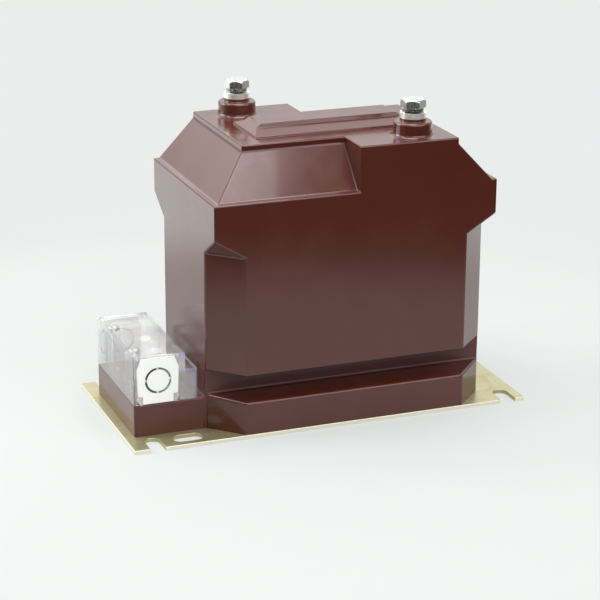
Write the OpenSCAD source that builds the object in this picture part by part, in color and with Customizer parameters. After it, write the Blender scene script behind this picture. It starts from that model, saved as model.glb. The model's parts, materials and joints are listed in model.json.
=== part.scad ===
// Indoor cast-resin voltage transformer with two insulated high-voltage terminals.
// One resin casting holds the core and the windings and stands on a thin steel base plate.
// Frame: +X runs from the secondary terminal box to the plain end, -Y is the front,
// +Z is up, and the origin lies in the middle of the plate's underside.

/* [Base plate] */
// Length of the base plate
plate_l = 322; // [316:1:340]
// Width of the base plate
plate_w = 150; // [148:1:170]
// Thickness of the base plate
plate_t = 3; // [2.5:0.5:6]
// Plate left bare of the cast body at the secondary end
plate_overhang = 64; // [60:1:70]
// Width of the open mounting notches
notch_w = 12; // [8:0.5:14]
// Depth of the notches from the long edges
notch_depth = 20.5; // [14:0.5:22]
// Distance of the first notches from the secondary end of the plate
notch_inset = 18; // [14:0.5:20]
// Distance between the notches along the plate
notch_spacing = 290; // [284:1:292]
// Overall length of the closed slots
slot_l = 24; // [16:0.5:26]
// Width of the closed slots
slot_w = 13; // [8:0.5:14]
// Distance of the closed slots from the secondary end of the plate
slot_inset = 45.5; // [44:0.5:47]
// Distance of the closed slots from the long edges
slot_edge = 12.5; // [10:0.5:13]

/* [Cast body] */
// Length of the cast body without the terminal platform
body_l = 228; // [222:1:232]
// Depth of the cast body from front to back
body_w = 148; // [140:1:148]
// Height of the roof above the mounting surface
roof_z = 220; // [216:1:260]
// Height of the shoulder where the slopes start
shoulder_z = 185; // [180:1:190]
// Flat ledge on the shoulder
ledge = 4.5; // [2:0.5:8]
// Distance of the roof's edge inside the body's outline
roof_inset = 33; // [24:0.5:36]
// Upright lip between the slopes and the roof
lip_h = 5; // [2:0.5:8]
// Length of the corner chamfers along each side
chamfer = 24.5; // [14:0.5:26]
// Height at which the chamfers run out at the corners
chamfer_end_z = 158; // [150:1:170]
// Height up to which the chamfers have their full width
chamfer_full_z = 143; // [120:1:148]
// Distance of the upright tower walls from the body's middle
tower_gap = 1; // [0:0.5:6]
// Height of the underside of the wide part
groove_top_z = 50; // [44:1:60]
// Height of the foot at its outer edge and of the terminal platform
foot_z = 28.5; // [26:0.5:32]
// Rise of the foot's top towards the neck
foot_rise = 2; // [0:0.5:5]
// Length of the terminal platform
platform_l = 56.5; // [54:0.5:58]

/* [Ridge between the terminals] */
// Length of the ridge at the roof
ridge_l = 129; // [100:1:134]
// Length of the ridge's flat top
ridge_top_l = 111; // [60:1:112]
// Width of the ridge at the roof
ridge_w = 52; // [40:1:58]
// Width of the ridge's flat top
ridge_top_w = 26; // [16:1:34]
// Height of the ridge
ridge_h = 8; // [6:0.5:12]
// Upright edge at the foot of the ridge
ridge_step = 1.2; // [0.5:0.1:2]
// Height at which the ridge's slope meets its upright upper side
ridge_skirt_h = 5; // [3:0.1:5.5]

/* [High-voltage terminals] */
// Distance of the terminals from the body's middle along its length
hv_x = 51.5; // [48:0.5:52]
// Distance of the terminals from the body's middle across its depth
hv_y = 53.5; // [50:0.5:55]
// Diameter of the terminal bosses
boss_d = 29.5; // [26:0.5:31]
// Height of the bosses
boss_h = 11.3; // [8:0.1:20]
// Radius round the top of the bosses
boss_edge_r = 2.2; // [1:0.1:4]
// Radius at the root of the bosses
boss_root_r = 3; // [1:0.1:4]
// Diameter of the seat on top of the bosses
seat_d = 20; // [18:0.5:21]
// Height of the seat on top of the bosses
seat_h = 2.4; // [0.5:0.1:4]
// Thread diameter of the terminals
hv_thread = 10; // [8:1:10]
// Width across the flats of the terminal bolts
hv_hex = 17; // [14:0.5:18]
// Height of the bolt heads
hv_head_h = 6.4; // [4:0.1:8]
// Length of the bolts under the head
hv_bolt_l = 30; // [24:1:34]
// Outer diameter of the flat washers
hv_washer_d = 20; // [17:0.5:21]
// Thickness of one flat washer
hv_washer_t = 2; // [1:0.1:3]
// Outer diameter of the spring washers
hv_spring_d = 17; // [15:0.5:18.5]
// Thickness of the spring washers
hv_spring_t = 2.2; // [1.5:0.1:3]
// Rise of the spring washers from end to end
hv_spring_rise = 1.6; // [0.5:0.1:2.1]
// Outer diameter of the cast-in inserts
hv_insert_d = 15; // [13:0.5:17]
// Length of the cast-in inserts
hv_insert_l = 34; // [32:1:40]

/* [Core and windings] */
// Height of the winding axis above the mounting surface
coil_z = 125; // [120:1:128]
// Height of the wound strip in the core
core_t = 24; // [18:1:26]
// Width of the core's strip
core_w = 40; // [30:1:42]
// Length of the core's window
window_l = 126; // [120:1:136]
// Height of the core's window
window_h = 63; // [60:1:66]
// Outer radius of the core's corners
core_corner_r = 12; // [4:1:20]
// Width of the steel band round the core
band_w = 20; // [10:1:30]
// Thickness of the steel band round the core
band_t = 0.8; // [0.5:0.1:1.5]
// Outer diameter of the winding former
former_d = 54; // [53:1:56]
// Build-up of the secondary winding
secondary_t = 5; // [2:0.5:6]
// Build-up of the insulation between the windings
insulation_t = 5; // [3:0.5:6]
// Build-up of the primary winding
primary_t = 15; // [10:0.5:16]
// Length of the primary winding
primary_l = 108; // [106:1:110]
// How much longer each layer under the primary winding is
layer_step = 4; // [1:0.5:5]
// Diameter of the leads to the high-voltage terminals
hv_lead_d = 4; // [2:0.5:5]
// Diameter of the leads to the secondary terminals
lv_lead_d = 3; // [2:0.5:3.5]

/* [Secondary terminals] */
// Distance of the secondary terminals from the body's end
lv_x = 28; // [24:0.5:30]
// Distance between the secondary terminals
lv_pitch = 28; // [22:1:32]
// Thread diameter of the secondary terminals
lv_thread = 6; // [5:1:6]
// Width across the flats of the secondary screws
lv_hex = 10; // [8:0.5:11]
// Height of the secondary screws' heads
lv_head_h = 4; // [3:0.1:5]
// Length of the secondary screws under the head
lv_screw_l = 12; // [9:0.5:14]
// Side of the square clamp washers
lv_clamp = 13; // [12:0.5:16]
// Thickness of the square clamp washers
lv_clamp_t = 1.5; // [1:0.1:2.5]
// Outer diameter of the small spring washers
lv_spring_d = 11; // [9.5:0.5:12]
// Thickness of the small spring washers
lv_spring_t = 1.4; // [1:0.1:1.8]
// Rise of the small spring washers from end to end
lv_spring_rise = 1; // [0.5:0.1:1.3]
// Outer diameter of the secondary inserts
lv_insert_d = 10; // [8.5:0.5:12]
// Length of the secondary inserts
lv_insert_l = 14; // [12:0.5:15]

/* [Clear cover] */
// Height of the cover's tall part
cover_h = 38; // [34:0.5:46]
// Height of the cover's low step
cover_low_h = 24; // [14:0.5:30]
// Length of the cover's tall part
cover_l = 40.5; // [38:0.5:42]
// Length of the cover's low step
cover_step_l = 10; // [8:0.5:11]
// Wall thickness of the cover
cover_wall = 2.5; // [2.3:0.1:3]
// Radius of the cover's upright edges
cover_edge_r = 2; // [1:0.1:3]
// Diameter of the screw columns in the cover
column_d = 12.5; // [11.5:0.5:13.5]
// Distance of the columns from the cover's middle
column_y = 27.5; // [22:0.5:30]
// Thread diameter of the cover screws
cover_thread = 5; // [3:0.5:5]
// Diameter of the cover screws' heads
cover_head_d = 8.5; // [7:0.1:9]
// Height of the cover screws' heads
cover_head_h = 3.3; // [2:0.1:4]
// Depth of the pockets that hold the screw heads
pocket_depth = 5; // [2:0.1:8]
// Outer diameter of the cover screws' inserts
cover_insert_d = 8; // [7.5:0.1:9]
// Length of the cover screws' inserts
cover_insert_l = 10; // [8:0.5:14]
// Width of the white cable entry plates
entry_w = 32.8; // [30:0.2:34]
// Height of the white cable entry plates
entry_h = 36.2; // [30:0.2:37]
// Depth of the groove round the knock-out
knockout_depth = 2; // [0.5:0.1:2]
// Diameter of the knock-out in the entry plates
knockout_d = 20.6; // [14:0.2:22]
// Width of the groove round the knock-out
knockout_groove = 1.6; // [0.8:0.1:2]
// Radius of the small lugs at the foot of the entry plates
lug_r = 2.8; // [2:0.1:3.2]
// Height of the small lugs at the foot of the entry plates
lug_h = 6.5; // [4:0.5:8]
// Distance of the lugs' middles inside the entry plates' sides
lug_inset = 2; // [1:0.1:3]

/* [Plate fasteners] */
// Thread diameter of the plate screws
plate_thread = 6; // [5:0.5:6]
// Distance of the plate screws from the body's middle along its length
plate_screw_x = 80; // [70:1:82]
// Distance of the plate screws from the body's middle across its depth
plate_screw_y = 34; // [28:1:38]
// Length of the plate screws
plate_screw_l = 16; // [12:1:18]
// Width across the flats of the plate screws' sockets
socket_af = 4; // [3:0.5:4]
// Depth of the plate screws' sockets
socket_depth = 2.4; // [1.5:0.1:3]
// Outer diameter of the plate inserts
plate_insert_d = 11; // [9.5:0.5:12]
// Length of the plate inserts
plate_insert_l = 18; // [17:1:19]

/* [Fits] */
// Gap between a modelled shank and its threaded hole
thread_gap = 0.15; // [0.05:0.05:0.3]
// Gap between a shank and a clearance hole
hole_gap = 0.25; // [0.1:0.05:0.4]
// Gap between an entry plate and the opening that it stands in
entry_gap = 0.3; // [0.1:0.1:0.6]
// Gap round the cover screws' heads in their pockets
pocket_gap = 0.5; // [0.2:0.1:0.8]

/* [Hidden] */

$fn = 64;
// Overlap that makes unions solid and cuts clean
eps = 1;

// Body outline, measured from the body's own middle
half_l = body_l / 2;
half_w = body_w / 2;
neck_y = half_w - chamfer;
roof_x = half_l - roof_inset;
roof_y = half_w - roof_inset;
lip_z = roof_z - lip_h;
body_x = -plate_l / 2 + plate_overhang + half_l;

// Plate details
notch_x = [-plate_l / 2 + notch_inset, -plate_l / 2 + notch_inset + notch_spacing];
slot_x = -plate_l / 2 + slot_inset;
slot_y = plate_w / 2 - slot_edge;

// Terminal platform and what stands on it, measured from the body's middle
platform_end = -half_l - platform_l;
lv_place_x = -half_l - lv_x;
column_x = platform_end + column_d / 2;
entry_x = platform_end + cover_wall + entry_gap + entry_w / 2;
lug_reach = entry_w / 2 - lug_inset;
wall_y = neck_y - cover_wall / 2;

// High-voltage terminal stack
seat_z = roof_z + boss_h + seat_h;
washers_h = 2 * hv_washer_t;
spring_h = hv_spring_t + hv_spring_rise;
head_z = seat_z + washers_h + spring_h;
// Turn of the front and the back bolt's head, and of their spring washers' splits
head_turn = [4, 6];
split_turn = [204, 240];

// Core and winding radii
window_x = window_l / 2;
core_x = window_x + core_t;
core_top = coil_z + core_t / 2;
core_bottom = coil_z - core_t / 2 - window_h - core_t;
former_r = former_d / 2;
secondary_r = former_r + secondary_t;
insulation_r = secondary_r + insulation_t;
primary_r = insulation_r + primary_t;
insulation_l = primary_l + layer_step;
secondary_l = primary_l - layer_step;
former_l = insulation_l + layer_step;
// Height at which the high-voltage leads turn towards the primary winding
lead_turn_z = coil_z + primary_r / 2;
// Route of the secondary leads: past the core's end and under the inserts
lv_lead_y = (former_r + secondary_r) / 2;
lv_lead_x = -core_x - 2 * lv_lead_d;
lv_lead_z = plate_t + (foot_z - plate_t - lv_insert_l) / 2;

// Small hardware: the flat on a hexagon head as a share of its width, the slope round it,
// the chamfered tip of a screw as shares of its diameter, and the split of a spring washer
flat_ratio = 0.95;
hex_slope = 40;
tip_ratio = 0.1;
tip_end_ratio = 0.8;
spring_steps = 40;
split_angle = 14;
// Width and depth of the slot in the cover screws' heads
slot_cut = [1.2, 1.4];
// Upper and lower corners of an entry plate's right side, as shares of its half width and height
corner_ratio = [[0.86, 0], [0.96, 0.12], [1, 0.77], [0.8, 1]];

// Places one child at each terminal: the front one, then the back one
module at_terminals(z) {
    for (side = [0, 1])
        rotate([0, 0, 180 * side]) translate([hv_x, -hv_y, z]) {
            $side = side;
            children();
        }
}

// Moves children from the body's frame to the plate's frame
module body_frame() {
    translate([body_x, 0, 0]) children();
}

// Extrudes an outline drawn in X and Z along the depth
module along_y(depth) {
    rotate([90, 0, 0]) linear_extrude(height = depth, center = true) children();
}

// Extrudes an outline drawn in Y and Z along the length
module along_x(length) {
    rotate([90, 0, 90]) linear_extrude(height = length) children();
}

// Rectangle with rounded corners, even about its upright axis
module rounded_frame(half, low, high, r) {
    translate([-half + r, low]) square([2 * (half - r), high - low]);
    translate([-half, low + r]) square([2 * half, high - low - 2 * r]);
    for (x = [-half + r, half - r], z = [low + r, high - r]) translate([x, z]) circle(r = r);
}

// Straight round rod from one point to another
module rod(a, b, d) {
    v = b - a;
    len = norm(v);
    translate(a) rotate([0, acos(v[2] / len), atan2(v[1], v[0])]) cylinder(h = len, d = d);
}

// Wire through a list of points, with a ball at each bend
module wire(points, d) {
    for (i = [1 : len(points) - 1]) rod(points[i - 1], points[i], d);
    for (i = [1 : len(points) - 2]) translate(points[i]) sphere(d = d);
}

// Blunt hexagon head with its top corners turned off
module hex_head(af, h) {
    corner = af / cos(30);
    flat = flat_ratio * af;
    drop = (corner - flat) / 2 * tan(hex_slope);
    intersection() {
        cylinder(h = h, d = corner, $fn = 6);
        union() {
            cylinder(h = h - drop, d = corner + eps);
            translate([0, 0, h - drop]) cylinder(h = drop, d1 = corner, d2 = flat);
        }
    }
}

// Hexagon screw, drawn with the underside of its head at the origin
module hex_screw(d, af, head_h, length) {
    rotate([0, 0, 30]) hex_head(af, head_h);
    translate([0, 0, -length + tip_ratio * d]) cylinder(h = length, d = d);
    translate([0, 0, -length]) cylinder(h = tip_ratio * d, d1 = tip_end_ratio * d, d2 = d);
}

// Split spring washer: a flat wire wound to the left through almost one turn
module spring_washer(od, id, t, rise) {
    last = spring_steps;
    corners = [[id / 2, 0], [od / 2, 0], [od / 2, t], [id / 2, t]];
    points = [for (i = [0 : last])
        let (a = split_angle / 2 + (360 - split_angle) * i / last)
        for (c = corners) [c[0] * cos(a), c[0] * sin(a), c[1] + rise * (1 - i / last)]];
    sides = [for (i = [0 : last - 1]) for (k = [0 : 3])
        [4 * i + 4 + k, 4 * i + 4 + (k + 1) % 4, 4 * i + (k + 1) % 4, 4 * i + k]];
    ends = [[0, 1, 2, 3], [4 * last + 3, 4 * last + 2, 4 * last + 1, 4 * last]];
    polyhedron(points, concat(sides, ends));
}

// Flat round washer
module washer(od, id, t) {
    difference() {
        cylinder(h = t, d = od);
        translate([0, 0, -eps]) cylinder(h = t + 2 * eps, d = id);
    }
}

// Threaded insert with its mouth at the origin and its body below
module insert_outside(d, length) {
    translate([0, 0, -length]) cylinder(h = length, d = d);
}

module insert(d, length, thread) {
    difference() {
        insert_outside(d, length);
        translate([0, 0, -length + thread / 2]) cylinder(h = length, d = thread + 2 * thread_gap);
    }
}

// Base plate with open notches, closed slots and countersunk holes
module notch(x, side) {
    translate([x, side * plate_w / 2, 0]) mirror([0, side < 0 ? 0 : 1, 0]) {
        translate([0, notch_depth - notch_w / 2, -eps]) cylinder(h = plate_t + 2 * eps, d = notch_w);
        translate([-notch_w / 2, -eps, -eps])
            cube([notch_w, notch_depth - notch_w / 2 + eps, plate_t + 2 * eps]);
    }
}

module closed_slot(side) {
    reach = (slot_l - slot_w) / 2;
    translate([slot_x, side * slot_y, -eps]) {
        for (x = [-reach, reach]) translate([x, 0, 0]) cylinder(h = plate_t + 2 * eps, d = slot_w);
        translate([-reach, -slot_w / 2, 0]) cube([2 * reach, slot_w, plate_t + 2 * eps]);
    }
}

module at_plate_screws() {
    body_frame() for (x = [-1, 1], y = [-1, 1])
        translate([x * plate_screw_x, y * plate_screw_y, 0]) children();
}

module countersink(d, gap) {
    translate([0, 0, -gap]) cylinder(h = plate_t, d1 = d + 2 * plate_t + 2 * gap, d2 = d + 2 * gap);
    cylinder(h = plate_t + eps, d = d + 2 * gap);
}

module base_plate() {
    color("#c9c08a") difference() {
        translate([-plate_l / 2, -plate_w / 2, 0]) cube([plate_l, plate_w, plate_t]);
        for (x = notch_x, side = [-1, 1]) notch(x, side);
        for (side = [-1, 1]) closed_slot(side);
        at_plate_screws() countersink(plate_thread, thread_gap);
    }
}

// Countersunk socket screws that hold the plate to the casting from below
module plate_screws() {
    color("silver") at_plate_screws() difference() {
        union() {
            cylinder(h = plate_t, d1 = plate_thread + 2 * plate_t, d2 = plate_thread);
            cylinder(h = plate_screw_l, d = plate_thread);
        }
        translate([0, 0, -eps]) cylinder(h = socket_depth + eps, d = socket_af / cos(30), $fn = 6);
    }
}

module plate_inserts() {
    color("goldenrod") at_plate_screws()
        translate([0, 0, plate_t]) mirror([0, 0, 1])
            insert(plate_insert_d, plate_insert_l, plate_thread);
}

// Outline of the body's ends and roof, seen from the front
module body_front_outline() {
    polygon([
        [-half_l, plate_t], [half_l, plate_t], [half_l, shoulder_z], [half_l - ledge, shoulder_z],
        [roof_x, lip_z], [roof_x, roof_z], [-roof_x, roof_z], [-roof_x, lip_z],
        [-half_l + ledge, shoulder_z], [-half_l, shoulder_z]
    ]);
}

// What is cut from the roof in front of the left half, so that only a sloped side stays
module roof_recess() {
    translate([-half_l - eps, 0, 0]) along_x(half_l + eps + tower_gap) polygon([
        [-half_w - eps, shoulder_z], [-half_w + ledge, shoulder_z], [-roof_y, lip_z],
        [-roof_y, roof_z + eps], [-half_w - eps, roof_z + eps]
    ]);
}

// What is cut from one upright corner: a full chamfer that runs out under the shoulder.
// Its section follows the corner's diagonal and ends well outside the body.
module corner_cut() {
    run = chamfer / sqrt(2);
    out = run + chamfer;
    out_z = chamfer_full_z + (chamfer_end_z - chamfer_full_z) * out / run;
    translate([half_l - chamfer / 2, half_w - chamfer / 2, 0]) rotate([0, 0, 45])
        along_y(2 * chamfer) polygon([[0, 0], [0, chamfer_full_z], [out, out_z], [out, 0]]);
}

// Groove between the wide part and the foot, in the front and in the back
module neck_groove() {
    outside_z = foot_z - eps * foot_rise / chamfer;
    translate([-half_l - eps, 0, 0]) along_x(body_l + 2 * eps) polygon([
        [-neck_y, foot_z + foot_rise], [-half_w - eps, outside_z],
        [-half_w - eps, groove_top_z], [-neck_y, groove_top_z]
    ]);
}

// Ridge that keeps the two terminals apart on the roof
module ridge() {
    side_lean = 1;
    translate([0, 0, roof_z]) intersection() {
        translate([-ridge_l / 2, 0, 0]) along_x(ridge_l) polygon([
            [-ridge_w / 2, -eps], [ridge_w / 2, -eps], [ridge_w / 2, ridge_step],
            [ridge_top_w / 2 + side_lean, ridge_skirt_h], [ridge_top_w / 2, ridge_h],
            [-ridge_top_w / 2, ridge_h], [-ridge_top_w / 2 - side_lean, ridge_skirt_h],
            [-ridge_w / 2, ridge_step]
        ]);
        along_y(ridge_w) polygon([
            [-ridge_l / 2, -eps], [ridge_l / 2, -eps], [ridge_l / 2, ridge_step],
            [ridge_top_l / 2, ridge_h], [-ridge_top_l / 2, ridge_h], [-ridge_l / 2, ridge_step]
        ]);
    }
}

// Round boss with a soft top edge, a fillet at its root and a seat for the washers
module boss() {
    r = boss_d / 2;
    rotate_extrude() {
        translate([0, -eps]) square([r, boss_h - boss_edge_r + eps]);
        square([r - boss_edge_r, boss_h]);
        translate([r - boss_edge_r, boss_h - boss_edge_r]) intersection() {
            circle(r = boss_edge_r);
            square(boss_edge_r);
        }
        difference() {
            translate([0, -eps]) square([r + boss_root_r, boss_root_r + eps]);
            translate([r + boss_root_r, boss_root_r]) circle(r = boss_root_r);
        }
        square([seat_d / 2, boss_h + seat_h]);
    }
}

// Everything that the resin encloses, as one set of hollows in the casting
module embedded_shapes() {
    core_outside();
    band_shape();
    winding_layer(former_r, former_l);
    winding_layer(secondary_r, secondary_l);
    winding_layer(insulation_r, insulation_l);
    winding_layer(primary_r, primary_l);
    hv_lead_rods();
    lv_lead_rods();
    at_terminals(seat_z) insert_outside(hv_insert_d, hv_insert_l);
    at_lv(foot_z) insert_outside(lv_insert_d, lv_insert_l);
    at_columns(foot_z) insert_outside(cover_insert_d, cover_insert_l);
    translate([-body_x, 0, plate_t]) at_plate_screws() mirror([0, 0, 1])
        insert_outside(plate_insert_d, plate_insert_l);
}

module resin_casting() {
    color("#55241f") body_frame() difference() {
        union() {
            difference() {
                along_y(body_w) body_front_outline();
                for (turn = [0, 180]) rotate([0, 0, turn]) roof_recess();
                for (mx = [0, 1], my = [0, 1]) mirror([mx, 0, 0]) mirror([0, my, 0]) corner_cut();
                for (turn = [0, 180]) rotate([0, 0, turn]) neck_groove();
            }
            translate([platform_end, -neck_y, plate_t])
                cube([platform_l + chamfer, 2 * neck_y, foot_z - plate_t]);
            ridge();
            at_terminals(roof_z) boss();
        }
        embedded_shapes();
    }
}

// Core of wound strip, cut into two halves that butt inside the windings
module core_outline() {
    rounded_frame(core_x, core_bottom, core_top, core_corner_r);
}

module core_window() {
    translate([-window_x, coil_z - core_t / 2 - window_h]) square([window_l, window_h]);
}

module core_outside() {
    along_y(core_w) difference() {
        core_outline();
        core_window();
    }
}

// Steel band that ties the two halves together round the outside
module band_shape() {
    along_y(band_w) difference() {
        rounded_frame(core_x + band_t, core_bottom - band_t, core_top + band_t, core_corner_r + band_t);
        core_outline();
    }
}

module core_band() {
    color("silver") body_frame() band_shape();
}

module core_half(side) {
    reach = core_x + eps;
    color("dimgray") body_frame() intersection() {
        core_outside();
        translate([side < 0 ? -reach : 0, -core_w, 0]) cube([reach, 2 * core_w, roof_z]);
    }
}

module core_left_half() {
    core_half(-1);
}

module core_right_half() {
    core_half(1);
}

// Full round of one layer on the winding axis
module winding_layer(r, length) {
    translate([-length / 2, 0, coil_z]) rotate([0, 90, 0]) cylinder(h = length, r = r);
}

// Insulating former that slides over the core's upper limb
module winding_former() {
    color("burlywood") body_frame() difference() {
        winding_layer(former_r, former_l);
        core_outside();
        band_shape();
    }
}

module winding(outer, inner, length, shade) {
    color(shade) body_frame() difference() {
        winding_layer(outer, length);
        winding_layer(inner, length + 2 * eps);
    }
}

module secondary_winding() {
    winding(secondary_r, former_r, secondary_l, "chocolate");
}

module winding_insulation() {
    winding(insulation_r, secondary_r, insulation_l, "wheat");
}

module primary_winding() {
    winding(primary_r, insulation_r, primary_l, "peru");
}

// Leads from the primary winding's ends to the high-voltage inserts
module hv_lead_rods() {
    at_terminals(0) wire([
        [0, 0, seat_z - hv_insert_l], [0, 0, lead_turn_z], [0, hv_y, lead_turn_z]
    ], hv_lead_d);
}

module hv_leads() {
    color("peru") body_frame() difference() {
        hv_lead_rods();
        winding_layer(primary_r, primary_l);
        core_outside();
    }
}

// Leads from the secondary winding to the inserts under the clear cover
module lv_lead_rods() {
    for (side = [-1, 1]) wire([
        [-secondary_l / 2, side * lv_lead_y, coil_z], [lv_lead_x, side * lv_lead_y, coil_z],
        [lv_lead_x, side * lv_lead_y, lv_lead_z], [lv_place_x, side * lv_lead_y, lv_lead_z],
        [lv_place_x, side * lv_pitch / 2, lv_lead_z], [lv_place_x, side * lv_pitch / 2, foot_z - lv_insert_l]
    ], lv_lead_d);
}

module lv_leads() {
    color("chocolate") body_frame() lv_lead_rods();
}

// High-voltage terminals
module hv_inserts() {
    color("goldenrod") body_frame() at_terminals(seat_z) insert(hv_insert_d, hv_insert_l, hv_thread);
}

module hv_flat_washers() {
    color("gainsboro") body_frame() at_terminals(seat_z)
        for (i = [0, 1]) translate([0, 0, i * hv_washer_t])
            washer(hv_washer_d, hv_thread + 2 * hole_gap, hv_washer_t);
}

module hv_spring_washers() {
    color("gainsboro") body_frame() at_terminals(seat_z + washers_h)
        rotate([0, 0, split_turn[$side] - 180 * $side])
            spring_washer(hv_spring_d, hv_thread + 2 * hole_gap, hv_spring_t, hv_spring_rise);
}

module hv_bolts() {
    color("gainsboro") body_frame() at_terminals(head_z)
        rotate([0, 0, head_turn[$side]]) hex_screw(hv_thread, hv_hex, hv_head_h, hv_bolt_l);
}

// Secondary terminals on the platform
module at_lv(z) {
    for (side = [-1, 1]) translate([lv_place_x, side * lv_pitch / 2, z]) children();
}

module lv_inserts() {
    color("goldenrod") body_frame() at_lv(foot_z) insert(lv_insert_d, lv_insert_l, lv_thread);
}

module lv_clamp_washers() {
    color("gold") body_frame() at_lv(foot_z) difference() {
        translate([-lv_clamp / 2, -lv_clamp / 2, 0]) cube([lv_clamp, lv_clamp, lv_clamp_t]);
        translate([0, 0, -eps]) cylinder(h = lv_clamp_t + 2 * eps, d = lv_thread + 2 * hole_gap);
    }
}

module lv_spring_washers() {
    color("silver") body_frame() at_lv(foot_z + lv_clamp_t)
        spring_washer(lv_spring_d, lv_thread + 2 * hole_gap, lv_spring_t, lv_spring_rise);
}

module lv_screws() {
    color("silver") body_frame() at_lv(foot_z + lv_clamp_t + lv_spring_t + lv_spring_rise)
        hex_screw(lv_thread, lv_hex, lv_head_h, lv_screw_l);
}

// Clear stepped cover over the secondary terminals
module cover_outline(inset, below) {
    left = platform_end + inset;
    step = platform_end + cover_l - inset;
    right = platform_end + cover_l + cover_step_l - inset;
    polygon([
        [left, foot_z - below], [right, foot_z - below], [right, foot_z + cover_low_h - inset],
        [step, foot_z + cover_low_h - inset], [step, foot_z + cover_h - inset],
        [left, foot_z + cover_h - inset]
    ]);
}

module at_columns(z) {
    for (side = [-1, 1]) translate([column_x, side * column_y, z]) children();
}

// Upright block over the cover's whole plan, with rounded corners
module cover_plan() {
    half = (cover_l + cover_step_l) / 2;
    translate([platform_end + half, 0, foot_z]) linear_extrude(height = cover_h)
        rounded_frame(half, -neck_y, neck_y, cover_edge_r);
}

// Small half-round lugs in front of and behind each entry plate's lower corners
module cover_lugs() {
    difference() {
        for (x = [-lug_reach, lug_reach], side = [-1, 1])
            translate([entry_x + x, side * wall_y, foot_z]) cylinder(h = lug_h, r = lug_r);
        entry_openings(0);
    }
}

// Openings for the entry plates, which reach out of the wall by the given length
module entry_openings(out) {
    for (side = [-1, 1]) translate([entry_x, side * (wall_y + out / 2), foot_z])
        along_y(cover_wall + out) entry_outline(entry_gap, eps);
}

module cover_shell() {
    difference() {
        intersection() {
            along_y(2 * neck_y) cover_outline(0, 0);
            cover_plan();
        }
        along_y(2 * (neck_y - cover_wall)) cover_outline(cover_wall, eps);
        entry_openings(eps);
    }
}

module secondary_cover() {
    color([0.85, 0.9, 0.95, 0.4]) body_frame() difference() {
        union() {
            cover_shell();
            cover_lugs();
            at_columns(foot_z) cylinder(h = cover_h, d = column_d);
        }
        at_columns(foot_z - eps) cylinder(h = cover_h + 2 * eps, d = cover_thread + 2 * hole_gap);
        at_columns(foot_z + cover_h - pocket_depth)
            cylinder(h = pocket_depth + eps, d = cover_head_d + 2 * pocket_gap);
    }
}

module cover_screws() {
    under_head = cover_h - pocket_depth;
    length = under_head + cover_insert_l - cover_thread / 2 - hole_gap;
    color("dimgray") body_frame() at_columns(foot_z + under_head) difference() {
        union() {
            cylinder(h = cover_head_h, d = cover_head_d);
            translate([0, 0, -length]) cylinder(h = length + eps, d = cover_thread);
        }
        translate([-slot_cut[0] / 2, -cover_head_d, cover_head_h - slot_cut[1]])
            cube([slot_cut[0], 2 * cover_head_d, slot_cut[1] + eps]);
    }
}

module cover_inserts() {
    color("goldenrod") body_frame() at_columns(foot_z)
        insert(cover_insert_d, cover_insert_l, cover_thread);
}

// White cable entry plate with cut corners, in an opening of the cover's wall
module entry_outline(gap, below) {
    half = entry_w / 2 + gap;
    stretch = [-below, 0, 0, gap];
    right = [for (i = [0 : 3]) [corner_ratio[i][0] * half, corner_ratio[i][1] * entry_h + stretch[i]]];
    left = [for (i = [3 : -1 : 0]) [-right[i][0], right[i][1]]];
    polygon(concat(right, left));
}

module entry_plate(side) {
    color("white") body_frame() translate([entry_x, side * neck_y, foot_z]) difference() {
        translate([0, -side * cover_wall / 2, 0]) along_y(cover_wall) entry_outline(0, 0);
        translate([0, 0, entry_h / 2]) rotate([90, 0, 0]) difference() {
            cylinder(h = 2 * knockout_depth, d = knockout_d, center = true);
            cylinder(h = 3 * knockout_depth, d = knockout_d - 2 * knockout_groove, center = true);
        }
    }
}

module front_entry_plate() {
    entry_plate(-1);
}

module back_entry_plate() {
    entry_plate(1);
}

resin_casting();
base_plate();
plate_screws();
plate_inserts();
hv_inserts();
hv_bolts();
hv_spring_washers();
hv_flat_washers();
core_left_half();
core_right_half();
core_band();
winding_former();
secondary_winding();
winding_insulation();
primary_winding();
hv_leads();
lv_leads();
lv_inserts();
lv_screws();
lv_spring_washers();
lv_clamp_washers();
secondary_cover();
cover_screws();
cover_inserts();
front_entry_plate();
back_entry_plate();
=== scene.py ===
"""Looks of an indoor cast-resin voltage transformer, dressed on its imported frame."""
import json
import math

import bmesh
import bpy
from mathutils import Matrix, Vector
from mathutils.bvhtree import BVHTree


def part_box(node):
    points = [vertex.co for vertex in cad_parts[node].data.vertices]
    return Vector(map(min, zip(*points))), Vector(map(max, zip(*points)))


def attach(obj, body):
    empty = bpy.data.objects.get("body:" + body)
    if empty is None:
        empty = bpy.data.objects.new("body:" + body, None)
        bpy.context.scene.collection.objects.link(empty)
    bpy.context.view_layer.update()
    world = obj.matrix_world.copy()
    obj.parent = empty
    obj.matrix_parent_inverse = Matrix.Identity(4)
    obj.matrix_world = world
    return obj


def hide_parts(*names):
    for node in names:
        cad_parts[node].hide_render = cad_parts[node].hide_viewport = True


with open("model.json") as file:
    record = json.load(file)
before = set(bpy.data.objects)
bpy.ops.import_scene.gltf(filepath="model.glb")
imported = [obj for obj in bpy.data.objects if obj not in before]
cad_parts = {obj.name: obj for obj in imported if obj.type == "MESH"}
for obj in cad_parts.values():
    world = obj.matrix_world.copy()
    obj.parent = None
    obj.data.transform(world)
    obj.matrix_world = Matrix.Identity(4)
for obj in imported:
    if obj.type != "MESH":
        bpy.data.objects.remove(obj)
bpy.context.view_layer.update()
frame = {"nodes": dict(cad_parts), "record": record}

MM = 0.001

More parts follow.
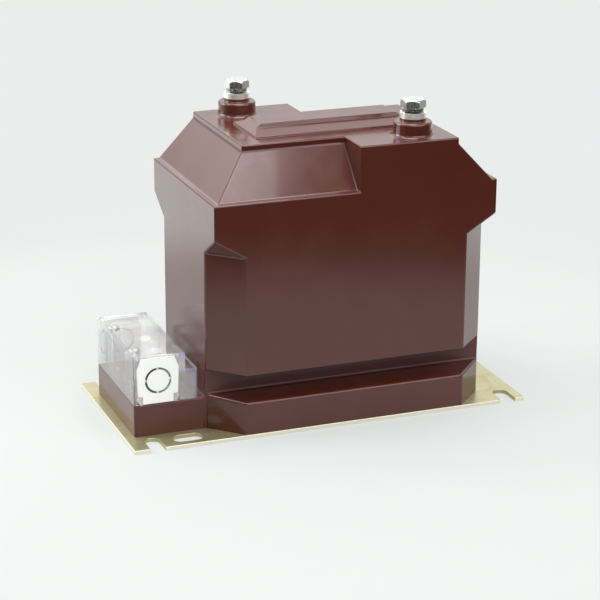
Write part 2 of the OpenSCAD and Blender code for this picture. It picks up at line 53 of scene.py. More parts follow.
# Axes of the screws, as the part's source places them: x and y in millimetres
HV_TERMINALS = [(68.5, -53.5), (-34.5, 53.5)]
LV_TERMINALS = [(-125.0, -14.0), (-125.0, 14.0)]
COVER_COLUMNS = [(-147.25, -27.5), (-147.25, 27.5)]
PLATE_SCREWS = [(-63.0, -34.0), (-63.0, 34.0), (97.0, -34.0), (97.0, 34.0)]

# Reach of the holes and of the terminal bosses round those axes, in millimetres
SEAT_HOLE_REACH = 9.0
SMALL_HOLE_REACH = 6.0
PLATE_HOLE_REACH = 8.0
BOSS_REACH = 20.0

# Levels that part the casting's forms, in millimetres above the floor
UNDERSIDE_LEVEL = 4.0
PLATE_HOLE_LEVEL = 25.0
FOOT_LEVEL = 31.0
GROOVE_LEVEL = 50.0
ROOF_LEVEL = 219.0

# Inner wall of the hand grooves, as a span of distances from the middle plane, in millimetres
GROOVE_WALL = (49.0, 50.5)

# Rounding of the casting's edges in millimetres, and the share of it that some forms get
CASTING_ROUNDING = 1.1
BOSS_SHARE = 0.35
RIDGE_SHARE = 0.4
FOOT_SHARE = 1.5

# Box round the roof's ridge, in millimetres
RIDGE_MIDDLE = 17.0
RIDGE_HALF_LENGTH = 65.0
RIDGE_HALF_WIDTH = 26.5

# Clear cover, in millimetres: its wall, where its step starts from the end, and the drop of the step
COVER_WALL = 2.5
STEP_START = 40.5
STEP_DROP = 14.0

# Knock-out of the white plates, in millimetres: the groove's middle line, half the width that gets painted
# shade, half the width of the bridges across it, and how far below the plate's face the painted shade
# starts
KNOCKOUT_RADIUS = 9.5
KNOCKOUT_HALF_GROOVE = 0.85
KNOCKOUT_HALF_BRIDGE = 0.9
KNOCKOUT_SHADE_DEPTH = 0.3

# Camera, fitted to the body's straight edges in the photograph: degrees and millimetres
CAMERA_YAW = 21.169
CAMERA_PITCH = 18.716
CAMERA_ROLL = 0.297
CAMERA_AIM = (-1.288, 0, 79.10)
CAMERA_DISTANCE = 1653.16
CAMERA_LENS = 125.84
CAMERA_SENSOR = 36

# Colours of the studio
BACKDROP = (0.823, 0.847, 0.831, 1)
ROOM_LIGHT = (0.97, 1.0, 0.99, 1)
TABLE = (0.555, 0.57, 0.56, 1)


# Node helpers

def add(tree, kind, **settings):
    """Adds a node and sets its properties."""
    node = tree.nodes.new(kind)
    for name, value in settings.items():
        setattr(node, name, value)
    return node


def join(tree, *pairs):
    """Links outputs to inputs."""
    for source, target in pairs:
        tree.links.new(source, target)


def ramp(tree, factor, stops):
    """Colour ramp over a factor: stops are (position, colour)."""
    node = add(tree, "ShaderNodeValToRGB")
    band = node.color_ramp
    while len(band.elements) < len(stops):
        band.elements.new(0.5)
    for element, (position, colour) in zip(band.elements, stops):
        element.position = position
        element.color = (*colour, 1)
    join(tree, (factor, node.inputs["Fac"]))
    return node.outputs["Color"]


def span(tree, value, start, end=(0.0, 1.0), smooth=False):
    """Maps a value from its starting span to its end span."""
    node = add(tree, "ShaderNodeMapRange", interpolation_type="SMOOTHSTEP" if smooth else "LINEAR")
    for socket, limit in zip(("From Min", "From Max", "To Min", "To Max"), (*start, *end)):
        node.inputs[socket].default_value = limit
    join(tree, (value, node.inputs["Value"]))
    return node.outputs["Result"]


def combine(tree, operation, *values):
    """Math node on values that are each a socket or a number."""
    node = add(tree, "ShaderNodeMath", operation=operation)
    for socket, value in zip(node.inputs, values):
        if isinstance(value, (int, float)):
            socket.default_value = value
        else:
            join(tree, (value, socket))
    return node.outputs[0]


def chain(tree, operation, first, *others):
    """One math operation carried over a row of values."""
    result = first
    for value in others:
        result = combine(tree, operation, result, value)
    return result


def parts_of(tree, vector):
    """The x, y and z of a vector."""
    node = add(tree, "ShaderNodeSeparateXYZ")
    join(tree, (vector, node.inputs[0]))
    return node.outputs


def mixed(tree, factor, first, second):
    """Mix of two shaders."""
    node = add(tree, "ShaderNodeMixShader")
    join(tree, (factor, node.inputs["Fac"]), (first, node.inputs[1]), (second, node.inputs[2]))
    return node.outputs[0]


# Camera, floor and light

def place_camera():
    """Camera at the photograph's viewing angle."""
    yaw, pitch, roll = (math.radians(angle) for angle in (CAMERA_YAW, CAMERA_PITCH, CAMERA_ROLL))
    back = Vector((-math.sin(yaw) * math.cos(pitch), -math.cos(yaw) * math.cos(pitch), math.sin(pitch)))
    level = Vector((math.cos(yaw), -math.sin(yaw), 0))
    upright = back.cross(level)
    right = math.cos(roll) * level + math.sin(roll) * upright
    up = math.cos(roll) * upright - math.sin(roll) * level
    lens = bpy.data.cameras.new("studio_camera")
    lens.sensor_width = CAMERA_SENSOR
    lens.lens = CAMERA_LENS
    camera = bpy.data.objects.new("studio_camera", lens)
    turn = Matrix((right, up, back)).transposed().to_4x4()
    aim = Vector(CAMERA_AIM) * MM
    camera.matrix_world = Matrix.Translation(aim + back * CAMERA_DISTANCE * MM) @ turn
    bpy.context.collection.objects.link(camera)
    bpy.context.scene.camera = camera


def light_room():
    """Pale studio: bright on the far side and overhead, dim behind the camera."""
    world = bpy.data.worlds.new("pale_studio")
    world.use_nodes = True
    bpy.context.scene.world = world
    tree = world.node_tree
    tree.nodes.clear()
    way = add(tree, "ShaderNodeTexCoord")
    _, forwards, upwards = parts_of(tree, way.outputs["Generated"])

    # Each part of the room: a span of the direction, then a span of strength, where 1 is white
    room = span(tree, forwards, (-0.3, 0.4), (0.06, 0.8), smooth=True)
    away = span(tree, forwards, (0.2, 0.6), smooth=True)
    high_wall = combine(tree, "MULTIPLY", away, span(tree, upwards, (0.25, 0.31), smooth=True))
    low_table = span(tree, upwards, (-0.1, -0.25), (0, 0.6), smooth=True)
    far_table = combine(tree, "MULTIPLY", away, low_table)
    ceiling = span(tree, upwards, (-0.02, 0.4), (0, 0.5), smooth=True)
    strength = combine(tree, "MAXIMUM", chain(tree, "ADD", room, high_wall, far_table), ceiling)

    lit = add(tree, "ShaderNodeBackground")
    lit.inputs["Color"].default_value = ROOM_LIGHT
    join(tree, (strength, lit.inputs["Strength"]))
    seen = add(tree, "ShaderNodeBackground")
    seen.inputs["Color"].default_value = BACKDROP
    seen.inputs["Strength"].default_value = 1
    path = add(tree, "ShaderNodeLightPath")
    clear_view = combine(tree, "MAXIMUM", path.outputs["Is Camera Ray"],
                         path.outputs["Is Transmission Ray"])
    out = add(tree, "ShaderNodeOutputWorld")
    join(tree, (mixed(tree, clear_view, lit.outputs[0], seen.outputs[0]), out.inputs["Surface"]))


def soft_box(name, place, aim, width, height, power):
    """Rectangular studio lamp that points from its place at its aim."""
    lamp = bpy.data.lights.new(name, "AREA")
    lamp.shape = "RECTANGLE"
    lamp.size = width
    lamp.size_y = height
    lamp.energy = power
    lit = bpy.data.objects.new(name, lamp)
    place = Vector(place)
    turn = (Vector(aim) - place).to_track_quat("-Z", "Y")
    lit.matrix_world = Matrix.Translation(place) @ turn.to_matrix().to_4x4()
    bpy.context.collection.objects.link(lit)


def pale_table():
    """Pale matt top that fades into the backdrop, partly shown in its own plain colour."""
    fade_from, fade_to = 0.38, 0.56
    plain_share = 0.6
    far_from, far_to = 0.0, 0.2
    material = bpy.data.materials.new("pale_table")
    material.use_nodes = True
    tree = material.node_tree
    tree.nodes.clear()
    spot = add(tree, "ShaderNodeTexCoord").outputs["Object"]
    reach = add(tree, "ShaderNodeVectorMath", operation="LENGTH")
    join(tree, (spot, reach.inputs[0]))
    fade = span(tree, reach.outputs["Value"], (fade_from, fade_to), smooth=True)
    matt = add(tree, "ShaderNodeBsdfDiffuse")
    matt.inputs["Color"].default_value = TABLE
    plain = add(tree, "ShaderNodeEmission")
    plain.inputs["Color"].default_value = BACKDROP
    path = add(tree, "ShaderNodeLightPath")
    _, depth, _ = parts_of(tree, spot)
    mirrored_share = span(tree, depth, (far_from, far_to), (plain_share, 1.0))
    direct = combine(tree, "MAXIMUM",
                     combine(tree, "MULTIPLY", path.outputs["Is Camera Ray"], plain_share),
                     combine(tree, "MULTIPLY", path.outputs["Is Glossy Ray"], mirrored_share))
    top = mixed(tree, direct, matt.outputs[0], plain.outputs[0])
    clear = add(tree, "ShaderNodeBsdfTransparent")
    out = add(tree, "ShaderNodeOutputMaterial")
    join(tree, (mixed(tree, fade, top, clear.outputs[0]), out.inputs["Surface"]))
    return material


def lay_floor():
    """Square table top under the object."""
    half_side = 1.2
    mesh = bpy.data.meshes.new("table_top")
    shape = bmesh.new()
    bmesh.ops.create_grid(shape, x_segments=1, y_segments=1, size=half_side)
    shape.to_mesh(mesh)
    shape.free()
    floor = bpy.data.objects.new("table_top", mesh)
    bpy.context.collection.objects.link(floor)
    mesh.materials.append(pale_table())


# Finishes

class Finish:
    """A procedural material on Object coordinates with one Principled shader."""

    def __init__(self, name, **constants):
        self.material = bpy.data.materials.new(name)
        self.material.use_nodes = True
        self.tree = self.material.node_tree
        self.shader = next(n for n in self.tree.nodes if n.type == "BSDF_PRINCIPLED")
        self.place = add(self.tree, "ShaderNodeTexCoord").outputs["Object"]
        self.surface = None
        for socket, value in constants.items():
            self.shader.inputs[socket.replace("_", " ")].default_value = value

    def stretched(self, scale):
        """Place scaled by axis, for a pattern that runs one way."""
        node = add(self.tree, "ShaderNodeMapping")
        node.inputs["Scale"].default_value = scale
        join(self.tree, (self.place, node.inputs["Vector"]))
        return node.outputs["Vector"]

    def noise(self, scale, detail=3.0, roughness=0.5, place=None, distortion=0.0):
        """Soft random clouds; scale counts them along a metre."""
        node = add(self.tree, "ShaderNodeTexNoise")
        node.inputs["Scale"].default_value = scale
        node.inputs["Detail"].default_value = detail
        node.inputs["Roughness"].default_value = roughness
        node.inputs["Distortion"].default_value = distortion
        join(self.tree, (place or self.place, node.inputs["Vector"]))
        return node.outputs["Fac"]

    def cells(self, scale):
        """Distance to the nearest of many scattered points."""
        node = add(self.tree, "ShaderNodeTexVoronoi")
        node.inputs["Scale"].default_value = scale
        join(self.tree, (self.place, node.inputs["Vector"]))
        return node.outputs["Distance"]

    def bands(self, scale, direction, distortion=0.0):
        """Even bands across one axis."""
        node = add(self.tree, "ShaderNodeTexWave", bands_direction=direction)
        node.inputs["Scale"].default_value = scale
        node.inputs["Distortion"].default_value = distortion
        join(self.tree, (self.place, node.inputs["Vector"]))
        return node.outputs["Fac"]

    def colour(self, factor, stops):
        """Base colour from a ramp over a factor."""
        join(self.tree, (ramp(self.tree, factor, stops), self.shader.inputs["Base Color"]))

    def roughness(self, factor, low, high, start=(0.3, 0.7)):
        """Roughness between low and high as the factor runs over its starting span."""
        join(self.tree, (span(self.tree, factor, start, (low, high)), self.shader.inputs["Roughness"]))

    def relief(self, factor, depth, strength, coat=False):
        """Bump of a depth in metres, laid over the bumps before it."""
        node = add(self.tree, "ShaderNodeBump")
        node.inputs["Distance"].default_value = depth
        node.inputs["Strength"].default_value = strength
        join(self.tree, (factor, node.inputs["Height"]))
        if self.surface is not None:
            join(self.tree, (self.surface, node.inputs["Normal"]))
        self.surface = node.outputs["Normal"]
        join(self.tree, (self.surface, self.shader.inputs["Normal"]))
        if coat:
            join(self.tree, (self.surface, self.shader.inputs["Coat Normal"]))


def cast_resin():
    """Glossy brown-red filled epoxy: wavy skin, clouded pigment, pores, scuffs and matt hand grooves."""
    skin = Finish("cast_resin", IOR=1.5, Coat_Weight=0.25, Coat_Roughness=0.05, Coat_IOR=1.5)
    tree = skin.tree
    clouds = skin.noise(14, detail=4, roughness=0.6)
    skin.colour(clouds, [(0.25, (0.070, 0.0135, 0.0080)), (0.55, (0.078, 0.0165, 0.0100)),
                         (0.8, (0.090, 0.0215, 0.0145))])
    _, y, z = parts_of(tree, skin.place)
    depth = combine(tree, "ABSOLUTE", y)
    in_groove = chain(tree, "MULTIPLY",
                      combine(tree, "LESS_THAN", depth, GROOVE_WALL[1] * MM),
                      combine(tree, "GREATER_THAN", depth, GROOVE_WALL[0] * MM),
                      combine(tree, "LESS_THAN", z, GROOVE_LEVEL * MM))
    scuffs = skin.noise(60, detail=6, roughness=0.7, distortion=0.6)
    polish = span(tree, scuffs, (0.3, 0.7), (0.13, 0.24))
    groove_matt = combine(tree, "MULTIPLY", in_groove, 0.4)
    join(tree, (combine(tree, "ADD", polish, groove_matt), skin.shader.inputs["Roughness"]))
    skin.relief(skin.noise(13, detail=1), 0.7 * MM, 0.35, coat=True)
    skin.relief(skin.noise(500, detail=2), 0.01 * MM, 0.35, coat=True)
    skin.relief(span(tree, skin.cells(150), (0.0, 0.035)), 0.1 * MM, 0.4)
    return skin.material


def passivated_plate():
    """Yellow-passivated zinc on rolled sheet: gold with faint pink and green bloom, and a painted
    highlight that makes the plate's edge faces paler.
    """
    skin = Finish("passivated_plate", Metallic=0.7)
    tree = skin.tree
    highlight_edge_depth = 0.15 * MM
    x, y, _ = parts_of(tree, skin.place)
    _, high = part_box("base_plate")
    # Painted highlight: points on the plate's edge faces are pushed up the ramp towards the palest cream,
    # standing in for the bright edge
    painted_edge_highlight = combine(tree, "MAXIMUM",
                  combine(tree, "GREATER_THAN", combine(tree, "ABSOLUTE", x), high[0] - highlight_edge_depth),
                  combine(tree, "GREATER_THAN", combine(tree, "ABSOLUTE", y), high[1] - highlight_edge_depth))
    bloom = combine(tree, "MULTIPLY", skin.noise(26, distortion=1.2), 0.9)
    skin.colour(combine(tree, "ADD", bloom, combine(tree, "MULTIPLY", painted_edge_highlight, 0.6)),
                [(0.27, (0.38, 0.32, 0.16)), (0.38, (0.44, 0.38, 0.20)), (0.45, (0.47, 0.42, 0.25)),
                 (0.52, (0.42, 0.405, 0.225)), (0.61, (0.48, 0.385, 0.24)), (0.88, (0.85, 0.81, 0.66))])
    rolled = skin.noise(90, place=skin.stretched((0.25, 3, 3)))
    skin.roughness(rolled, 0.32, 0.46)
    skin.relief(rolled, 0.02 * MM, 0.2)
    skin.relief(skin.noise(260), 0.04 * MM, 0.25)
    return skin.material


def plated_steel(name, tint):
    """Bright plated steel with faint clouding and fine scratches."""
    skin = Finish(name, Metallic=1.0)
    dull = tuple(0.86 * channel for channel in tint)
    skin.colour(skin.noise(300, detail=4), [(0.3, dull), (0.6, tint)])
    wear = skin.noise(900, detail=4, place=skin.stretched((1, 1, 0.25)))
    skin.roughness(wear, 0.20, 0.34)
    skin.relief(wear, 0.02 * MM, 0.4)
    return skin.material


def washer_zinc():
    """Tumbled zinc plating of stamped washers: duller and warmer than the bolts."""
    skin = Finish("washer_zinc", Metallic=0.8)
    skin.colour(skin.noise(260, detail=4), [(0.3, (0.80, 0.78, 0.71)), (0.7, (0.92, 0.90, 0.84))])
    grain = skin.noise(700, detail=4)
    skin.roughness(grain, 0.34, 0.50)
    skin.relief(grain, 0.03 * MM, 0.5)
    return skin.material


def machined_brass():
    """Clouded brass with fine turning marks."""
    skin = Finish("machined_brass", Metallic=1.0)
    skin.colour(skin.noise(220, detail=4), [(0.3, (0.60, 0.42, 0.17)), (0.7, (0.78, 0.60, 0.30))])
    turned = skin.bands(900, "Z", distortion=1.5)
    skin.roughness(turned, 0.20, 0.34, start=(0, 1))
    skin.relief(turned, 0.02 * MM, 0.5)
    return skin.material


def core_strip():
    """Edges of bonded silicon-steel strip, wound in layers."""
    skin = Finish("core_strip", Metallic=1.0)
    layers = skin.bands(600, "Z", distortion=0.4)
    skin.colour(layers, [(0.2, (0.10, 0.10, 0.12)), (0.8, (0.32, 0.32, 0.34))])
    skin.roughness(skin.noise(200), 0.35, 0.55)
    skin.relief(layers, 0.1 * MM, 0.6)
    return skin.material


def enamelled_turns():
    """Turns of enamelled copper wire side by side along the winding axis."""
    skin = Finish("enamelled_turns", Metallic=0.9, Coat_Weight=0.4, Coat_Roughness=0.1)
    turns = skin.bands(320, "X")
    skin.colour(turns, [(0.1, (0.24, 0.07, 0.025)), (0.6, (0.62, 0.25, 0.11))])
    skin.roughness(skin.noise(150), 0.25, 0.40)
    skin.relief(turns, 0.4 * MM, 0.8)
    return skin.material


def pressed_board():
    """Pressboard and film: fibrous tan sheet."""
    skin = Finish("pressed_board")
    fibres = skin.noise(380, detail=6, roughness=0.7, place=skin.stretched((0.4, 1.4, 1.4)))
    skin.colour(fibres, [(0.3, (0.46, 0.34, 0.17)), (0.7, (0.62, 0.48, 0.27))])
    skin.roughness(fibres, 0.6, 0.8)
    skin.relief(fibres, 0.1 * MM, 0.5)
    return skin.material


def clear_moulding():
    """Clear polycarbonate: a faint haze, pale outer faces, and a painted lilac edge light where the walls
    of the step meet.
    """
    skin = Finish("clear_moulding", IOR=1.5)
    tree = skin.tree
    haze = skin.noise(70, detail=5, roughness=0.65)
    skin.roughness(haze, 0.0, 0.015)
    skin.relief(skin.noise(60, detail=1.5), 0.3 * MM, 0.15)

    x, y, z = parts_of(tree, skin.place)
    outward = combine(tree, "ABSOLUTE", y)
    low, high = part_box("secondary_cover")
    side = -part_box("front_entry_plate")[0][1]
    wall = COVER_WALL * MM
    skin_depth = 0.2 * MM
    lug_start = 0.1 * MM
    edge_light_start = 36 * MM

    # A point that lies in two walls at once is seen edge on; there, on the step, a painted lilac edge
    # light stands in for light seen lengthwise through the wall
    on_step = combine(tree, "GREATER_THAN", x, low[0] + STEP_START * MM)
    roof = span(tree, on_step, (0, 1), (high[2] - wall, high[2] - STEP_DROP * MM - wall))
    walls_met = chain(tree, "ADD",
                      combine(tree, "LESS_THAN", x, low[0] + wall),
                      combine(tree, "GREATER_THAN", x, high[0] - wall),
                      combine(tree, "GREATER_THAN", outward, side - wall),
                      combine(tree, "GREATER_THAN", z, roof))
    edge_on = combine(tree, "GREATER_THAN", walls_met, 1.5)
    lilac = combine(tree, "MULTIPLY", edge_on, combine(tree, "GREATER_THAN", x, low[0] + edge_light_start))
    # Base colour: the haze's random tone, and the painted lilac edge light on the step
    tint = ramp(tree, combine(tree, "ADD", lilac, span(tree, haze, (0.3, 0.7), (0, 0.1))),
                [(0.0, (0.985, 0.985, 1.0)), (0.1, (0.955, 0.955, 0.99)), (1.0, (0.50, 0.48, 0.72))])

    # Pale frost on the outer faces: the end, the long sides without their lugs, and the roof
    lug = combine(tree, "GREATER_THAN", outward, side + lug_start)
    on_side = combine(tree, "SUBTRACT", combine(tree, "GREATER_THAN", outward, side - skin_depth), lug)
    end_frost = combine(tree, "MULTIPLY", combine(tree, "LESS_THAN", x, low[0] + skin_depth), 0.95)
    side_frost = combine(tree, "MULTIPLY", on_side, 0.88)
    roof_frost = combine(tree, "MULTIPLY", combine(tree, "GREATER_THAN", z, high[2] - skin_depth), 0.2)
    frost = chain(tree, "MAXIMUM", lilac, end_frost, side_frost, roof_frost)
    see_through = span(tree, frost, (0, 2), (0.95, 0.45))

    # A face seen at a glancing angle, a pale face and an edge let less through
    slant = add(tree, "ShaderNodeLayerWeight")
    slant.inputs["Blend"].default_value = 0.5
    glancing = span(tree, slant.outputs["Facing"], (0.3, 0.95), (0.12, 0.6))
    frosted = combine(tree, "MULTIPLY", frost, 0.85)
    edged = combine(tree, "MULTIPLY", combine(tree, "MAXIMUM", edge_on, lug), 0.9)
    solid = chain(tree, "MAXIMUM", glancing, frosted, edged)
    join(tree, (tint, skin.shader.inputs["Base Color"]),
         (see_through, skin.shader.inputs["Transmission Weight"]), (solid, skin.shader.inputs["Alpha"]))
    return skin.material


def moulded_white():
    """White moulded plastic with a fine eroded grain, and painted shade in the knock-out groove between
    its bridges, heavier on the left.
    """
    skin = Finish("moulded_white", Subsurface_Weight=0.1, Subsurface_Scale=2 * MM)
    tree = skin.tree
    plate_low, plate_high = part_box("front_entry_plate")
    around = add(tree, "ShaderNodeVectorMath", operation="SUBTRACT")
    middle = ((plate_low[0] + plate_high[0]) / 2, 0, (plate_low[2] + plate_high[2]) / 2)
    around.inputs[1].default_value = middle
    join(tree, (skin.place, around.inputs[0]))
    x, y, z = parts_of(tree, around.outputs["Vector"])
    radius = combine(tree, "SQRT", combine(tree, "ADD", combine(tree, "MULTIPLY", x, x),
                                           combine(tree, "MULTIPLY", z, z)))
    lean = combine(tree, "MINIMUM", combine(tree, "ABSOLUTE", x), combine(tree, "ABSOLUTE", z))
    # Painted shade: the knock-out groove, below the plate's face and outside the bridges, is painted
    # near-black, fully on the left and about half as much on the right, as if lit from the right
    shade = span(tree, x, (-7 * MM, 7 * MM), (1.0, 0.55))
    shade_plane = -plate_low[1] - KNOCKOUT_SHADE_DEPTH * MM
    groove_painted_shade = chain(tree, "MULTIPLY",
                 combine(tree, "COMPARE", radius, KNOCKOUT_RADIUS * MM, KNOCKOUT_HALF_GROOVE * MM),
                 combine(tree, "LESS_THAN", combine(tree, "ABSOLUTE", y), shade_plane),
                 combine(tree, "GREATER_THAN", lean, KNOCKOUT_HALF_BRIDGE * MM), shade)
    cloud = span(tree, skin.noise(40), (0.3, 0.7), (0, 0.1))
    # The last, near-black stop of the ramp is the groove's painted shade
    skin.colour(combine(tree, "ADD", cloud, groove_painted_shade),
                [(0.0, (0.92, 0.92, 0.90)), (0.1, (0.96, 0.96, 0.95)), (0.9, (0.10, 0.10, 0.10))])
    skin.roughness(skin.noise(160), 0.30, 0.42)
    skin.relief(skin.noise(1400, detail=2), 0.03 * MM, 0.4)
    return skin.material


# Pieces

def merged(node, name):
    """Welded, clean-faced copy of a CAD node's mesh, as a new piece."""
    weld_distance = 2e-6
    flat_angle = math.radians(1)
    mesh = frame["nodes"][node].data.copy()
    mesh.name = name
    mesh.materials.clear()
    shape = bmesh.new()
    shape.from_mesh(mesh)
    bmesh.ops.remove_doubles(shape, verts=shape.verts, dist=weld_distance)
    bmesh.ops.dissolve_limit(shape, angle_limit=flat_angle, verts=shape.verts, edges=shape.edges)
    shape.to_mesh(mesh)
    shape.free()
    if "custom_normal" in mesh.attributes:
        mesh.attributes.remove(mesh.attributes["custom_normal"])
    piece = bpy.data.objects.new(name, mesh)
    bpy.context.collection.objects.link(piece)
    return piece


def soften_edges(piece, width, segments, angle=25, share=None):
    """Rounds the edges sharper than an angle in degrees by a width in millimetres.

    share(middle, edge), where given, says how much of the width an edge gets, from its middle in
    millimetres.
    """
    shape = bmesh.new()
    shape.from_mesh(piece.data)
    shape.normal_update()
    weight = shape.edges.layers.float.new("bevel_weight_edge")
    for face in shape.faces:
        face.smooth = True
    for edge in shape.edges:
        if edge.calc_face_angle(0) >= math.radians(angle):
            edge.smooth = False
            edge[weight] = share((edge.verts[0].co + edge.verts[1].co) / 2 / MM, edge) if share else 1
    shape.to_mesh(piece.data)
    shape.free()
    bevel = piece.modifiers.new("soft_edges", "BEVEL")
    bevel.limit_method = "WEIGHT"
    bevel.width = width * MM
    bevel.segments = segments
    bevel.use_clamp_overlap = False
    level = piece.modifiers.new("level_faces", "WEIGHTED_NORMAL")
    level.mode = "FACE_AREA"
    level.weight = 100
    level.keep_sharp = True


def finish_piece(piece, material, node):
    """Gives a piece its material, hides the CAD node that it stands for, and hangs the piece on the root
    body.
    """
    piece.data.materials.append(material)
    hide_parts(node)
    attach(piece, "root")


def open_to_air(piece):
    """Test that says whether a point just off the surface sees out of the piece."""
    off_surface = 0.0004
    least_rise = 0.05
    shape = bmesh.new()
    shape.from_mesh(piece.data)
    tree = BVHTree.FromBMesh(shape)
    shape.free()
    ways = []
    for tilt in (0.35, 0.9, 1.45, 2.0, 2.6):
        flat = math.sin(tilt)
        for step in range(8):
            turn = step * math.pi / 4 + tilt
            way = Vector((math.cos(turn) * flat, math.sin(turn) * flat, math.cos(tilt)))
            ways.append(way.normalized())

    def sees_out(point, normal):
        start = point + normal * off_surface
        return any(tree.ray_cast(start, way)[0] is None for way in ways if way.dot(normal) > least_rise)
    return sees_out


def near(axes, middle, reach):
    """Whether a point stands within reach of one of the axes, all in millimetres."""
    return any(math.hypot(middle.x - x, middle.y - y) < reach for x, y in axes)


def make_resin_body(material):
    """The casting with its visible edges rounded: most on the foot, least on the bosses and the ridge."""
    body = merged("resin_casting", "resin_body")
    sees_out = open_to_air(body)

    def share(middle, edge):
        in_hole = (near(HV_TERMINALS, middle, SEAT_HOLE_REACH)
                   or near(LV_TERMINALS + COVER_COLUMNS, middle, SMALL_HOLE_REACH)
                   or middle.z < PLATE_HOLE_LEVEL and near(PLATE_SCREWS, middle, PLATE_HOLE_REACH))
        if in_hole or middle.z < UNDERSIDE_LEVEL:
            return 0
        normal = sum((face.normal for face in edge.link_faces), Vector()).normalized()
        if not sees_out((edge.verts[0].co + edge.verts[1].co) / 2, normal):
            return 0
        if middle.z > ROOF_LEVEL and near(HV_TERMINALS, middle, BOSS_REACH):
            return BOSS_SHARE
        if (middle.z > ROOF_LEVEL and abs(middle.x - RIDGE_MIDDLE) < RIDGE_HALF_LENGTH
                and abs(middle.y) < RIDGE_HALF_WIDTH):
            return RIDGE_SHARE
        return FOOT_SHARE if middle.z < FOOT_LEVEL else 1

    soften_edges(body, CASTING_ROUNDING, segments=3, share=share)
    finish_piece(body, material, "resin_casting")


def make_rounded(node, name, material, width):
    """Copy of a CAD node with all its edges rounded by a width in millimetres."""
    piece = merged(node, name)
    soften_edges(piece, width, segments=2)
    finish_piece(piece, material, node)


def make_screws(node, name, material, axes, shank, root, rounding):
    """Copy of a row of screws whose shanks are thinned to the root of their thread, in millimetres."""
    piece = merged(node, name)
    shank_from, shank_to = 0.9 * shank * MM, 1.02 * shank * MM
    for vertex in piece.data.vertices:
        for x, y in axes:
            away = Vector((vertex.co.x - x * MM, vertex.co.y - y * MM))
            if shank_from < away.length < shank_to:
                away *= root / shank
                vertex.co.x = x * MM + away.x
                vertex.co.y = y * MM + away.y
                break
    soften_edges(piece, rounding, segments=2, angle=28)
    finish_piece(piece, material, node)


def screw_thread():
    """Geometry nodes that wind one helical ridge at each point, and the identifiers of their inputs."""
    ridge_of_pitch = 0.42
    steps_a_turn = 24
    sides_of_ridge = 4
    tree = bpy.data.node_groups.new("screw_thread", "GeometryNodeTree")
    sockets = {}
    for name, kind in (("Geometry", "NodeSocketGeometry"), ("Crest Radius", "NodeSocketFloat"),
                       ("Pitch", "NodeSocketFloat"), ("Turns", "NodeSocketFloat"),
                       ("Finish", "NodeSocketMaterial")):
        sockets[name] = tree.interface.new_socket(name, in_out="INPUT", socket_type=kind).identifier
    tree.interface.new_socket("Geometry", in_out="OUTPUT", socket_type="NodeSocketGeometry")
    given = add(tree, "NodeGroupInput")
    crest, pitch, turns = (given.outputs[name] for name in ("Crest Radius", "Pitch", "Turns"))
    ridge = combine(tree, "MULTIPLY", pitch, ridge_of_pitch)
    pitch_line = combine(tree, "SUBTRACT", crest, ridge)
    height = combine(tree, "MULTIPLY", pitch, turns)
    helix = add(tree, "GeometryNodeCurveSpiral")
    helix.inputs["Resolution"].default_value = steps_a_turn
    profile = add(tree, "GeometryNodeCurvePrimitiveCircle")
    profile.inputs["Resolution"].default_value = sides_of_ridge
    sweep = add(tree, "GeometryNodeCurveToMesh")
    sweep.inputs["Fill Caps"].default_value = True
    place = add(tree, "GeometryNodeInstanceOnPoints")
    real = add(tree, "GeometryNodeRealizeInstances")
    finish = add(tree, "GeometryNodeSetMaterial")
    out = add(tree, "NodeGroupOutput")
    join(tree, (turns, helix.inputs["Rotations"]), (height, helix.inputs["Height"]),
         (pitch_line, helix.inputs["Start Radius"]), (pitch_line, helix.inputs["End Radius"]),
         (ridge, profile.inputs["Radius"]),
         (helix.outputs[0], sweep.inputs["Curve"]), (profile.outputs[0], sweep.inputs["Profile Curve"]),
         (given.outputs["Geometry"], place.inputs["Points"]), (sweep.outputs[0], place.inputs["Instance"]),
         (place.outputs[0], real.inputs[0]), (real.outputs[0], finish.inputs["Geometry"]),
         (given.outputs["Finish"], finish.inputs["Material"]), (finish.outputs[0], out.inputs[0]))
    return tree, sockets


def make_threads(name, thread, material, axes, foot, crest, pitch, turns):
    """Thread ridges round a row of axes, from the foot's level upwards, in millimetres."""
    tree, sockets = thread
    mesh = bpy.data.meshes.new(name + "_starts")
    mesh.from_pydata([Vector((x, y, foot)) * MM for x, y in axes], [], [])
    holder = bpy.data.objects.new(name + "_starts", mesh)
    bpy.context.collection.objects.link(holder)
    winding = holder.modifiers.new("screw_thread", "NODES")
    winding.node_group = tree
    for key, value in (("Crest Radius", crest * MM), ("Pitch", pitch * MM), ("Turns", float(turns)),
                       ("Finish", material)):
        winding[sockets[key]] = value
    sight = bpy.context.evaluated_depsgraph_get()
    plain = bpy.data.meshes.new_from_object(holder.evaluated_get(sight))
    plain.name = name
    bpy.data.objects.remove(holder)
    shape = bmesh.new()
    shape.from_mesh(plain)
    bmesh.ops.recalc_face_normals(shape, faces=shape.faces)
    shape.to_mesh(plain)
    shape.free()
    piece = bpy.data.objects.new(name, plain)
    bpy.context.collection.objects.link(piece)
    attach(piece, "root")


def dress_node(node, material):
    """Gives a CAD node its material."""
    mesh = frame["nodes"][node].data
    mesh.materials.clear()
    mesh.materials.append(material)


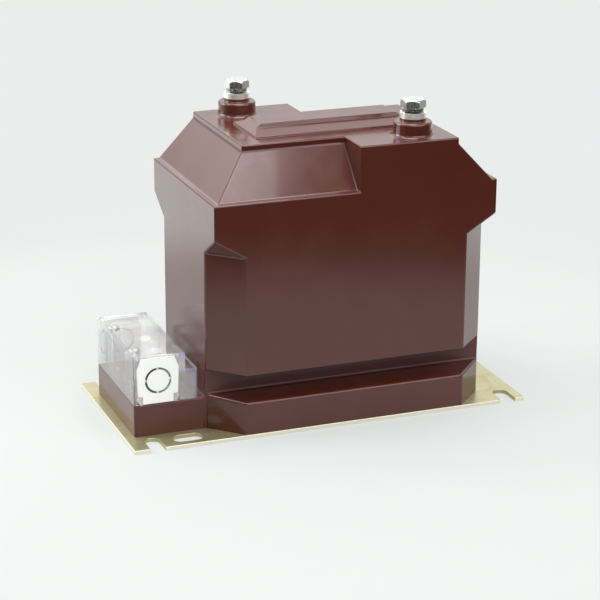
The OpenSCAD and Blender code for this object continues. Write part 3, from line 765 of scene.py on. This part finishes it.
place_camera()
light_room()
lay_floor()
soft_box("overhead_box", (0.0, -0.10, 0.82), aim=(0.0, -0.10, 0), width=0.39, height=0.42, power=3.1)
soft_box("front_box", (0.55, -1.65, 1.45), aim=(0, 0, 0.1), width=3.0, height=1.6, power=34)
soft_box("left_strip", (-0.50, 0.04, 0.86), aim=(0, 0, 0), width=0.16, height=0.34, power=1.7)
soft_box("left_box", (-1.3, 0.8, 0.85), aim=(0, 0, 0.1), width=0.9, height=0.9, power=16)

zinc = plated_steel("bright_zinc", (0.72, 0.72, 0.715))
white = moulded_white()

make_resin_body(cast_resin())
make_rounded("base_plate", "sheet_plate", passivated_plate(), width=0.3)
make_rounded("secondary_cover", "clear_cover", clear_moulding(), width=0.2)
make_rounded("front_entry_plate", "front_white_plate", white, width=0.3)
make_rounded("back_entry_plate", "back_white_plate", white, width=0.3)

thread = screw_thread()
# Painted shade: the threads get a near-black steel, so that the gaps round the shanks under the heads and
# washers look shaded
shade_painted_thread_steel = plated_steel("thread_steel_painted_shade", (0.16, 0.155, 0.15))
make_screws("hv_bolts", "terminal_bolts", zinc, HV_TERMINALS, shank=5.0, root=4.3, rounding=0.2)
make_threads("terminal_bolt_threads", thread, shade_painted_thread_steel, HV_TERMINALS,
             foot=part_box("hv_bolts")[0][2] / MM + 2, crest=4.98, pitch=1.5, turns=18)
make_screws("cover_screws", "cover_fixing_screws", zinc, COVER_COLUMNS, shank=2.5, root=2.1, rounding=0.15)
make_threads("cover_screw_threads", thread, shade_painted_thread_steel, COVER_COLUMNS,
             foot=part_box("cover_screws")[0][2] / MM + 1, crest=2.49, pitch=0.8, turns=46)
make_screws("lv_screws", "secondary_screws", zinc, LV_TERMINALS, shank=3.0, root=2.5, rounding=0.1)
make_threads("secondary_screw_threads", thread, shade_painted_thread_steel, LV_TERMINALS,
             foot=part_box("lv_screws")[0][2] / MM + 1, crest=2.99, pitch=1.0, turns=10)

# Looks of the CAD nodes that stay, by slot, with looks of their own for the washers
spring_steel = plated_steel("spring_steel", (0.52, 0.52, 0.51))
washers = {"hv_flat_washers": washer_zinc(), "hv_spring_washers": spring_steel,
           "lv_spring_washers": spring_steel}
finishes = {"zinc": zinc, "brass": machined_brass(), "core": core_strip(), "copper": enamelled_turns(),
            "pressboard": pressed_board()}
for part in frame["record"]["subparts"]:
    if part["material_slot"] in finishes:
        dress_node(part["node"], washers.get(part["node"], finishes[part["material_slot"]]))

bpy.context.scene.view_settings.view_transform = "Standard"
